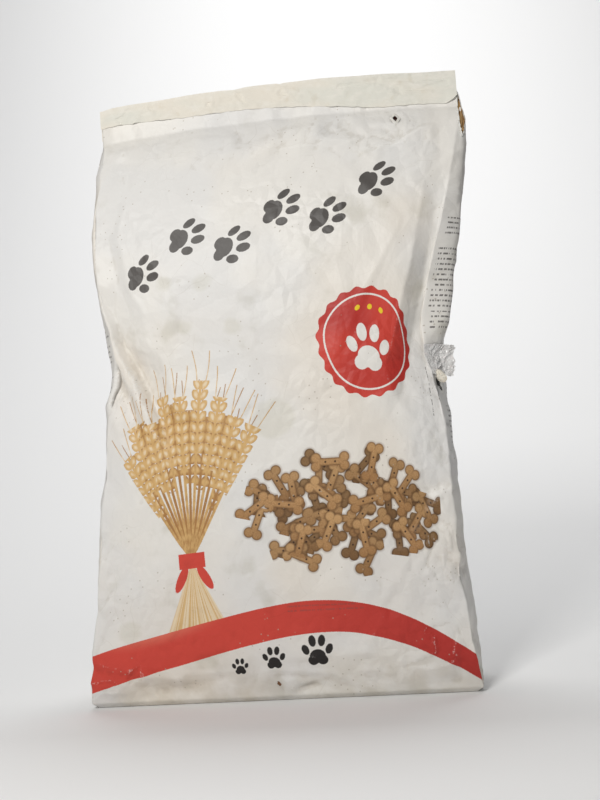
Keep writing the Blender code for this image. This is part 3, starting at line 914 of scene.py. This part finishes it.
def makeStripLook():
    spec = closingStrip
    look = Look("strip_paper", "2D", Roughness=0.72, Specular_IOR_Level=0.3)
    flat = look.paperPlace()
    x, y = look.parts(flat)
    patches = look.streaks(flat, 10, 26, 2.0)
    # cream and a cooler grey-green in random patches, with more of the grey-green towards the right end as
    # painted shade
    shadeToRight = x * 0.9
    color = look.mix((patches + shadeToRight).ramp(0.40, 0.72), spec["cream"], spec["cool"])
    color = look.mix(look.streaks(flat, 60, 130, 3.0).ramp(0.50, 0.72) * 0.45, color, spec["pale"])
    worn = (abs(y) - 0.0016).inside(0.0026) * look.noise(flat, 160.0, 2.0).ramp(0.38, 0.58)
    color = look.mix(worn * 0.7, color, spec["pale"])
    soiledParts = look.noise(look.local(flat, (1, 4)), 14.0, 1.0).ramp(0.45, 0.6)
    soil = look.noise(flat, 85.0, 4.0).ramp(0.56, 0.74) * soiledParts
    color = look.shade(color, soil * 0.35, spec["dirt"])
    color = look.shade(color, look.streaks(flat, 300, 1300, 2.0) * 0.18, (0.80, 0.76, 0.68))
    look.feed(Base_Color=color, Roughness=patches * 0.20 + 0.60)
    fibre = look.streaks(flat, 700, 1500, 2.0) * 0.00004
    wrinkle = look.cells(look.local(flat, (2, 2), 20), 90.0, "DISTANCE_TO_EDGE") * (0.09 / 90)
    wrinkled = look.noise(flat, 25.0, 1.0).ramp(0.4, 0.65)
    look.bump(fibre + wrinkle * wrinkled + look.noise(flat, 60.0, 2.0) * 0.0005)
    return look.material


def makeKraft(sheet):  # the brown inner ply, seen through the split
    rows, columns = 44, 15
    places = np.zeros((rows, columns, 3))
    uvs = np.zeros((rows, columns, 2))
    facets = crumple(20, 60, 4.5, 0.35, 41, [[(8, 0, 0.4), (9, 20, 0.8), (7, 40, 0.9), (9, 56, 0.3)]])
    for i, t in enumerate(np.linspace(-0.97, 0.97, rows)):
        up = tear["centre"][1] + t * tear["half"][1]
        for j, s in enumerate(np.linspace(-1, 1, columns)):
            across = tear["centre"][0] + s * tearEdge(up) * 0.98
            place, normal = onPaper(sheet, across, up)
            lift = 0.55 + float(facets(np.array([across - 191.0]), np.array([up - 557.0]))[0])
            places[i, j] = place + normal * lift
            uvs[i, j] = across / 1000, up / 1000
    kraft = gridPiece("kraft_sheet", places * mm, uvs=uvs)[0]
    thicken(kraft, 0.3)
    return kraft


def makeKraftLook():
    look = Look("kraft", "2D", Roughness=0.85, Specular_IOR_Level=0.2)
    flat = look.paperPlace()
    streaks = look.streaks(flat, 900, 60, 3.0)
    color = look.mix(streaks.ramp(0.35, 0.62), tear["shade"], tear["kraft"])
    color = look.mix(look.streaks(flat, 420, 45, 2.0).ramp(0.54, 0.66) * 0.8, color, tear["light"])
    across = look.parts(flat)[0]
    # painted shade: the kraft darkens towards both sides of the split, under the torn lips
    rim = abs(across - tear["centre"][0] / 1000).ramp(0.0035, 0.0085)
    color = look.shade(color, rim * 0.8, (0.35, 0.27, 0.20))
    look.feed(Base_Color=color)
    look.bump(streaks * 0.00025 + look.noise(flat, 1400.0, 2.0) * 0.00006)
    return look.material


def makeLip(name, sheet, side):  # torn white edge of the outer ply, standing up along one side of the split
    rng = np.random.default_rng(51 if side < 0 else 52)
    rows, shares = 70, (0.0, 0.35, 0.7, 1.0)
    raggedness, size = (0.8, 1.25) if side > 0 else (0.2, 0.8)  # the lip behind is longer and more ragged
    wobble = np.convolve(rng.uniform(-1, 1, rows + 8), np.ones(3) / 3, "same")[4:-4]
    fringe = rng.uniform(0.2, 1.0, rows)
    places, uvs = [], []
    for i, t in enumerate(np.linspace(-1.06, 1.04, rows)):
        up = tear["centre"][1] + t * tear["half"][1]
        edge = tear["centre"][0] + side * (float(tearEdge(up)) + 0.7)
        reach = (1.0 + 0.9 * fringe[i] + raggedness * wobble[i]) * size
        line = []
        for share in shares:
            across = edge + side * (1.6 - share * (1.6 + reach))
            place, normal = onPaper(sheet, max(across, 189.2), up)
            below = float(tearDepth(np.array(across), np.array(up)))
            curl = 1.1 * share * (1 - 0.45 * share) + 0.35 * wobble[i] * share
            line.append(place + normal * (below + 0.15 + curl))
        places.append(line)
        uvs.append([(share / 100, up / 1000) for share in shares])
    lip = gridPiece(name, np.array(places) * mm, uvs=np.array(uvs))[0]
    thicken(lip, 0.22)
    return lip


def makePunctureRim(sheet):  # paper pushed in and torn about a small kite-shaped hole
    x, up = puncture["centre"]
    middle = float(frontPaper(x, np.array(float(up))))
    around, rows = 40, len(puncture["rings"])
    sideways, upward, downward = puncture["kite"]
    rng = np.random.default_rng(61)
    ragged = np.convolve(rng.uniform(-1, 1, around), np.ones(2) / 2, "same")
    places, uvs = np.zeros((rows, around + 1, 3)), np.zeros((rows, around + 1, 2))
    for j in range(around + 1):
        angle = 2 * math.pi * j / around
        tall = downward if math.sin(angle) < 0 else upward
        kite = 1 / (abs(math.cos(angle)) / sideways + abs(math.sin(angle)) / tall)
        for i, (ring, height) in enumerate(puncture["rings"]):
            share = i / (rows - 1)  # from the bottom of the hole out to the flat paper
            radius = ring * puncture["inner"] * kite
            radius += 0.22 * ragged[j % around] * (1 - abs(2 * share - 1))
            height *= 1 + 0.3 * ragged[j % around] * (0.2 < share < 0.9)
            place, normal = onPaper(sheet, middle + radius * math.cos(angle), up + radius * math.sin(angle))
            places[i, j] = place + normal * (height + float(punctureDepth(radius)) + 0.12)
            uvs[i, j] = share, j / around
    rim = gridPiece("puncture_rim", places[::-1] * mm, uvs=uvs[::-1])[0]
    editAll("remove_doubles", threshold=1e-6)
    rim.data.shade_smooth()
    return rim


# torn paper: white fibres, darkened towards the hole by painted shade where the last argument is set
def makeTornLook(name, white, holeShade, shadeIntoHole):
    look = Look(name, "3D", Roughness=0.9, Specular_IOR_Level=0.15)
    place = look.node("ShaderNodeTexCoord", output=3)
    fibres = look.noise(look.stretch(place, (1.0, 1.0, 0.35)), 1500.0, 3.0)
    color = look.mix(fibres.ramp(0.30, 0.62), tuple(c * 0.80 for c in white), white)
    color = look.shade(color, look.noise(place, 420.0, 2.0).ramp(0.50, 0.70) * 0.5, (0.78, 0.70, 0.60))
    if shadeIntoHole:
        share = look.parts(look.node("ShaderNodeUVMap", dict(uv_map="paper")))[0]
        # painted shade: the rim darkens towards the bottom of the hole
        color = look.mix(share.ramp(0.42, 0.27), color, holeShade)
    look.feed(Base_Color=color)
    look.bump(fibres * 0.0003)
    return look.material


film = dict(  # the scrap of sticky film on the right gusset, in millimetres on the flat paper
    start=190.5, width=39, stuck=23, low=310, high=341, flare=(0.92, 0.32, -0.03),
    folds=[
        [(3, 8, 0.5), (10, 15, 1.8), (20, 25, 2.4), (28, 33, 1.0)],
        [(6, 3, 0.3), (14, 9, 1.7), (24, 18, 2.6), (36, 28, 2.0), (41, 34, 0.6)],
        [(14, 2, 0), (22, 8, -1.2), (32, 15, -1.6), (42, 24, -0.8)],
        [(0, 20, 0.2), (7, 24, 1.1), (14, 32, 0.5)],
        [(26, 4, 1.4), (34, 6, 2.4), (42, 7, 1.8)],
        [(22, 10, 0.4), (30, 8, -1.8), (38, 10, -2.0), (44, 11, -0.8)],
    ],
    milk=(0.91, 0.90, 0.885), clear=(0.80, 0.79, 0.775),
)


def makeFilm(sheet):
    spec = film
    columns, rows = 84, 64
    tall = spec["high"] - spec["low"]
    coarse = crumple(spec["width"], tall, 6.0, 0.9, 71, spec["folds"])
    fine = crumple(spec["width"], tall, 2.4, 0.28, 72)
    away = np.array(spec["flare"]) / np.linalg.norm(spec["flare"])
    places, uvs = np.zeros((rows, columns, 3)), np.zeros((rows, columns, 2))
    grid = np.zeros((rows, columns, 2))
    for i, t in enumerate(np.linspace(0, 1, rows)):
        reach = spec["width"] * (0.84 + 0.16 * smooth((t - 0.05) / 0.5))  # a slanted lower end
        reach *= 1 - 0.05 * smooth((t - 0.86) / 0.14)
        for j, s in enumerate(np.linspace(0, 1, columns)):
            sag = 2.5 * s * (t - 0.5) - 3.5 * s * t
            low = 2.5 * (1 - smooth(s / 0.35)) - 1.4 * math.sin(s * 9) * (1 - t)
            grid[i, j] = s * reach, t * tall + low * (1 - t) + sag
    relief = coarse(grid[..., 0], grid[..., 1]) + fine(grid[..., 0], grid[..., 1])
    for i in range(rows):
        for j in range(columns):
            along, up = grid[i, j]
            place, normal = onPaper(sheet, spec["start"] + min(along, spec["stuck"]), spec["low"] + up)
            free = max(along - spec["stuck"], 0)
            lift = 1.1 + max(relief[i, j], -0.8) * min(0.35 + along / 20, 1.3)
            forward = np.array((0, -1, 0)) * relief[i, j] * 0.5 * (free > 0)
            places[i, j] = place + normal * lift + away * free + forward
            uvs[i, j] = along / 1000, up / 1000
    piece = gridPiece("film_scrap", places * mm, uvs=uvs)[0]
    thicken(piece, 0.18)
    return piece


def makeFilmLook():
    look = Look("film", "2D", Specular_IOR_Level=0.6, Coat_Weight=0.7, Coat_Roughness=0.05)
    flat = look.paperPlace()
    clouds = look.noise(flat, 90.0, 3.0)
    color = look.mix(clouds.ramp(0.36, 0.60), film["clear"], film["milk"])
    color = look.shade(color, look.noise(flat, 260.0, 2.0).ramp(0.52, 0.72) * 0.5, (0.93, 0.86, 0.86))
    look.feed(Base_Color=color, Roughness=clouds * 0.22 + 0.10, Alpha=clouds.ramp(0.25, 0.55) * 0.08 + 0.91)
    sharp = look.cells(look.local(flat, (0, 0), 38, (1.0, 0.45)), 260.0, "DISTANCE_TO_EDGE") * (0.22 / 260)
    look.bump(sharp + look.noise(flat, 500.0, 2.0) * 0.00018)
    return look.material


scrap = dict(
    across=201.5, up=307.5, size=(5.6, 4.6, 7.0), knobs=26, knobReach=(0.62, 1.16),
    cream=(0.84, 0.79, 0.69), shade=(0.42, 0.33, 0.23),
)


def makeScrap(sheet):  # a wad of cream paper caught under the film
    place, normal = onPaper(sheet, scrap["across"], scrap["up"])
    bpy.ops.object.select_all(action="DESELECT")
    bpy.ops.mesh.primitive_ico_sphere_add(subdivisions=5, radius=1)
    wad = bpy.context.object
    wad.name = wad.data.name = "paper_wad"
    rng = np.random.default_rng(81)
    knobs = rng.normal(size=(scrap["knobs"], 3))
    knobs /= np.linalg.norm(knobs, axis=1, keepdims=True)
    heights = rng.uniform(*scrap["knobReach"], scrap["knobs"])
    flat = np.zeros(len(wad.data.vertices) * 3, np.float32)
    wad.data.vertices.foreach_get("co", flat)
    unit = flat.reshape(-1, 3)
    facing = unit @ knobs.T
    order = np.argsort(-facing, axis=1)[:, :2]
    near = np.take_along_axis(facing, order, 1)
    share = smooth((near[:, 0] - near[:, 1]) / 0.10)[:, None]
    radius = heights[order[:, 0]] * share[:, 0] + 0.80 * (1 - share[:, 0])
    radius = radius / np.maximum(near[:, 0], 0.72) * 0.92
    shaped = unit * radius[:, None] * np.array(scrap["size"]) + place + normal * 2.2
    wad.data.vertices.foreach_set("co", (shaped * mm).astype(np.float32).ravel())
    wad.data.update()
    wad.data.shade_smooth()
    bpy.ops.object.shade_smooth_by_angle(angle=math.radians(40))
    return wad


paperLook = dict(
    paper=(0.80, 0.775, 0.730), cool=(0.765, 0.752, 0.730), warm=(1.0, 0.955, 0.90),
    smudge=(0.80, 0.79, 0.74),
    crack=(0.86, 0.85, 0.82), grime=(0.42, 0.37, 0.30), speck=(0.16, 0.07, 0.03), rough=0.50,
    seam=0.585, seamStep=0.0006,
    nicks=[((0.1985, 0.3020), (0.0040, 0.0046), 20), ((0.2085, 0.3050), (0.0024, 0.0036), -20),
           ((0.2025, 0.2960), (0.0022, 0.0036), 35)],
    spots=[((-0.103, 0.418), 0.0085), ((-0.062, 0.416), 0.0095), ((-0.083, 0.372), 0.008),
           ((-0.034, 0.369), 0.009), ((-0.072, 0.043), 0.0105),
           ((0.002, 0.276), 0.022), ((-0.150, 0.075), 0.012)],
)


def barePaper(look, flat, tone):  # coated white paper with an uneven tone
    color = look.mix(tone.ramp(0.40, 0.62), paperLook["paper"], paperLook["cool"])
    yellowed = look.noise(look.local(flat, (3, 5)), 5.0, 2.0).ramp(0.48, 0.72)
    return look.shade(color, yellowed * 0.8, paperLook["warm"])


# stains, smudges, scuffs, specks, a darkening towards the bottom, painted shade in the valleys of the
# relief, and print that has cracked on the folds
def wornPaper(look, flat, y, color):
    crease = look.node("ShaderNodeAttribute", dict(attribute_name="crease"), output=2)
    wobbly = look.warp(flat, 60.0, 0.006)
    spots = look.union([look.ellipse(wobbly, centre, (size, size * 0.86))
                        for centre, size in paperLook["spots"]])
    color = look.shade(color, spots.inside(0.0045) * 0.75, (0.90, 0.895, 0.85))
    handled = look.noise(look.local(flat, (1, 2)), 6.0, 1.0).ramp(0.45, 0.6)
    smudge = look.noise(flat, 26.0, 4.0).ramp(0.56, 0.78) * handled
    color = look.shade(color, smudge * 0.65, paperLook["smudge"])
    # darker in patches towards the bottom of the sack
    darkerTowardsBottom = y.ramp(0.070, 0.0) * look.noise(flat, 40.0, 3.0).ramp(0.25, 0.7)
    color = look.shade(color, darkerTowardsBottom * 0.75, (0.80, 0.77, 0.71))
    hairline = look.cells(look.warp(flat, 40.0, 0.012), 34.0, "DISTANCE_TO_EDGE").ramp(0.020, 0.0)
    patchy = look.noise(look.local(flat, (7, 3)), 15.0, 2.0).ramp(0.52, 0.66)
    color = look.shade(color, hairline * patchy * 0.30, (0.80, 0.78, 0.74))
    ridge = crease.ramp(0.16, 0.55) * look.noise(flat, 520.0, 3.0).ramp(0.46, 0.60)
    # painted shade: the paper is darker in patches along the small valleys of the mesh relief
    valleyShade = crease.ramp(-0.05, -0.24) * look.noise(flat, 120.0, 2.0).ramp(0.30, 0.60)
    color = look.mix(ridge * 0.50, color, paperLook["crack"])
    color = look.shade(color, valleyShade * 0.35, (0.74, 0.71, 0.66))
    speckled = look.noise(look.local(flat, (2, 9)), 22.0, 1.0).ramp(0.60, 0.66)
    specks = look.cells(flat, 95.0).ramp(0.085, 0.05) * speckled
    color = look.mix(specks * 0.6, color, paperLook["grime"])
    blot = look.ellipse(look.warp(flat, 400.0, 0.002), (-0.004, 0.017), (0.0016, 0.0024), 20)
    return look.mix(blot.inside(), color, paperLook["speck"]), smudge


# bare white round the split, painted shade inside it, and nicks under the film, white at their torn edges
# and near-black inside as painted shade in the holes
def tornThrough(look, flat, color):
    ragged = look.warp(flat, 700.0, 0.0030)
    centre, half = tear["centre"], tear["half"]
    split = look.ellipse(ragged, (centre[0] / 1000, centre[1] / 1000), (half[0] / 1000, half[1] / 1000))
    color = look.mix((split - 0.0016).inside(0.0012), color, tear["white"])
    # painted shade inside the split, under the kraft sheet
    color = look.mix(split.inside(0.0008), color, tear["shade"])
    nicks = look.union([look.ellipse(look.warp(flat, 900.0, 0.005), *nick) for nick in paperLook["nicks"]])
    color = look.mix((nicks - 0.0009).inside(0.0008), color, tear["white"])
    # painted shade: the holes of the nicks are near-black
    return look.mix(nicks.inside(0.0005), color, (0.012, 0.010, 0.009))


# relief too fine for the mesh, in metres: fibre, hairline wrinkles and soft dimples
def paperRelief(look, flat):
    fibre = look.noise(flat, 1100.0, 2.0) * 0.00003
    near = look.noise(look.local(flat, (5, 5)), 11.0, 2.0).ramp(0.44, 0.64)
    large = look.cells(flat, 26.0, "DISTANCE_TO_EDGE") * (0.045 / 26)  # facets with straight ridges
    small = look.cells(look.local(flat, (4, 1), 33), 70.0, "DISTANCE_TO_EDGE") * near * (0.085 / 70)
    dimples = look.noise(flat, 38.0, 3.0, rough=0.6) * 0.0008
    return fibre - large + small + dimples


def makePaper(name, printed):
    look = Look(name, "2D", Roughness=paperLook["rough"], Specular_IOR_Level=0.35)
    uv = look.node("ShaderNodeUVMap", dict(uv_map="paper"))
    flat = look.stretch(uv, (1.0, 1.0, 0.0))
    tone = look.noise(flat, 7.0, 3.0)
    color = barePaper(look, flat, tone)
    inked = look.warp(flat, 900.0, 0.0006)  # ink edges are never quite sharp on paper
    if printed == "front":
        color = printFront(look, flat, inked, color)
    if printed == "sides":
        color = printSides(look, inked, color)
    relief = paperRelief(look, flat)
    if printed == "back":  # the glued seam where the paper's two long edges overlap
        fromSeam = look.parts(uv)[0] - paperLook["seam"]
        color = look.shade(color, abs(fromSeam).ramp(0.0014, 0.0) * 0.6, paperLook["smudge"])
        relief = relief + fromSeam.ramp(-0.0006, 0.0006) * paperLook["seamStep"]
    color, smudge = wornPaper(look, flat, look.parts(uv)[1], color)
    if printed == "sides":
        color = tornThrough(look, flat, color)
    look.feed(Base_Color=color, Roughness=tone * 0.16 + smudge * 0.12 + (paperLook["rough"] - 0.10))
    look.bump(relief)
    print("material", name, "has", len(look.tree.nodes), "nodes")
    return look.material


sack, sheet = makeSack()
for part in ("front", "sides", "back"):
    sack.data.materials.append(makePaper("paper_" + part, part))
print("sack:", len(sack.data.polygons), "faces")

strip = makeStrip(sheet)
strip.data.materials.append(makeStripLook())
print("closing strip:", len(strip.data.polygons), "faces")

kraft = makeKraft(sheet)
kraft.data.materials.append(makeKraftLook())
lips = [makeLip("torn_edge_front", sheet, -1), makeLip("torn_edge_side", sheet, 1)]
tornWhite = makeTornLook("torn_paper", tear["white"], tear["shade"], False)
for lip in lips:
    lip.data.materials.append(tornWhite)
punctureRim = makePunctureRim(sheet)
punctureRim.data.materials.append(makeTornLook("puncture_paper", puncture["white"], puncture["holeShade"], True))
print("split and puncture ready")

filmScrap = makeFilm(sheet)
filmScrap.data.materials.append(makeFilmLook())
wad = makeScrap(sheet)
wad.data.materials.append(makeTornLook("cream_paper", scrap["cream"], scrap["shade"], False))
print("film ready")

viewing = dict(
    distance=1.2, azimuth=6, elevation=-4, roll=-3.7, focal=1150, centre=(270, 389), aim=(0, 0, 0.31),
)


def makeCamera():
    azimuth, elevation, roll = (math.radians(viewing[key]) for key in ("azimuth", "elevation", "roll"))
    back = Vector((math.sin(azimuth) * math.cos(elevation), -math.cos(azimuth) * math.cos(elevation),
                   math.sin(elevation)))
    side = (-back).cross(Vector((0, 0, 1))).normalized()
    up = side.cross(-back)
    tiltedSide = side * math.cos(roll) + up * math.sin(roll)
    tiltedUp = up * math.cos(roll) - side * math.sin(roll)
    place = Vector(viewing["aim"]) + back * viewing["distance"]
    bpy.ops.object.camera_add(location=place)
    camera = bpy.context.object
    turn = Matrix((tiltedSide, tiltedUp, back)).transposed()
    camera.rotation_euler = turn.to_euler()
    camera.data.sensor_width = 36
    camera.data.lens = viewing["focal"] * 36 / 800
    camera.data.shift_x = (300 - viewing["centre"][0]) / 800
    camera.data.shift_y = -(400 - viewing["centre"][1]) / 800
    bpy.context.scene.camera = camera


stageLook = dict(
    floorColor=(0.80, 0.80, 0.80), bendStart=0.45, bendRadius=2.4, skyStrength=0.115,
    lamps=[  # name, place, aim, size, power, tint
        ("key", (-0.34, -1.40, 1.14), (0, 0, 0.34), 0.36, 18, (1.0, 0.988, 0.965)),
        ("wash", (0, 0.9, 2.6), (0, 2.6, 0.7), 1.6, 54, (1.0, 1.0, 1.0)),
    ],
)


def makeStage():
    bpy.ops.mesh.primitive_plane_add(size=1)
    floor = bpy.context.object
    floor.name = "floor"
    start, radius = stageLook["bendStart"], stageLook["bendRadius"]
    floor.data.transform(Matrix.Translation((0, start - 3, -0.0004)) @ Matrix.Diagonal((9, 6, 1, 1)))
    bpy.ops.object.mode_set(mode="EDIT")
    bpy.ops.mesh.select_all(action="DESELECT")
    bpy.ops.mesh.select_mode(type="EDGE")
    bpy.ops.object.mode_set(mode="OBJECT")
    for edge in floor.data.edges:
        edge.select = all(floor.data.vertices[i].co.y > start - 1 for i in edge.vertices)
    bpy.ops.object.mode_set(mode="EDIT")
    bpy.ops.mesh.spin(steps=32, angle=math.radians(-90), center=(0, start, radius), axis=(1, 0, 0))
    bpy.ops.mesh.extrude_region_move(TRANSFORM_OT_translate=dict(value=(0, 0, 3)))
    bpy.ops.object.mode_set(mode="OBJECT")
    floor.data.shade_smooth()
    paint = bpy.data.materials.new("floor_paint")
    paint.use_nodes = True
    shader = paint.node_tree.nodes["Principled BSDF"]
    shader.inputs["Base Color"].default_value = (*stageLook["floorColor"], 1)
    shader.inputs["Roughness"].default_value = 0.95
    floor.data.materials.append(paint)
    world = bpy.data.worlds.new("studio")
    world.use_nodes = True
    world.node_tree.nodes["Background"].inputs["Color"].default_value = (1, 1, 1, 1)
    world.node_tree.nodes["Background"].inputs["Strength"].default_value = stageLook["skyStrength"]
    bpy.context.scene.world = world
    bpy.context.scene.view_settings.view_transform = "Standard"
    for name, place, aim, size, power, tint in stageLook["lamps"]:
        bpy.ops.object.light_add(type="AREA", location=place)
        lamp = bpy.context.object
        lamp.name = name
        lamp.data.size = size
        lamp.data.energy = power
        lamp.data.color = tint
        toward = Vector(aim) - Vector(place)
        lamp.rotation_euler = toward.to_track_quat("-Z", "Y").to_euler()


makeCamera()
makeStage()

for piece, node, slot in [(sack, "sack", "printed_paper"), (strip, "closing_tape", "tape_paper"),
                          (kraft, "kraft_ply", "kraft_paper"), (filmScrap, "film_patch", "clear_film"),
                          (lips[0], None, "printed_paper"), (lips[1], None, "printed_paper"),
                          (punctureRim, None, "kraft_paper"), (wad, None, "tape_paper")]:
    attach(piece, "root")
    if node:
        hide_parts(node)
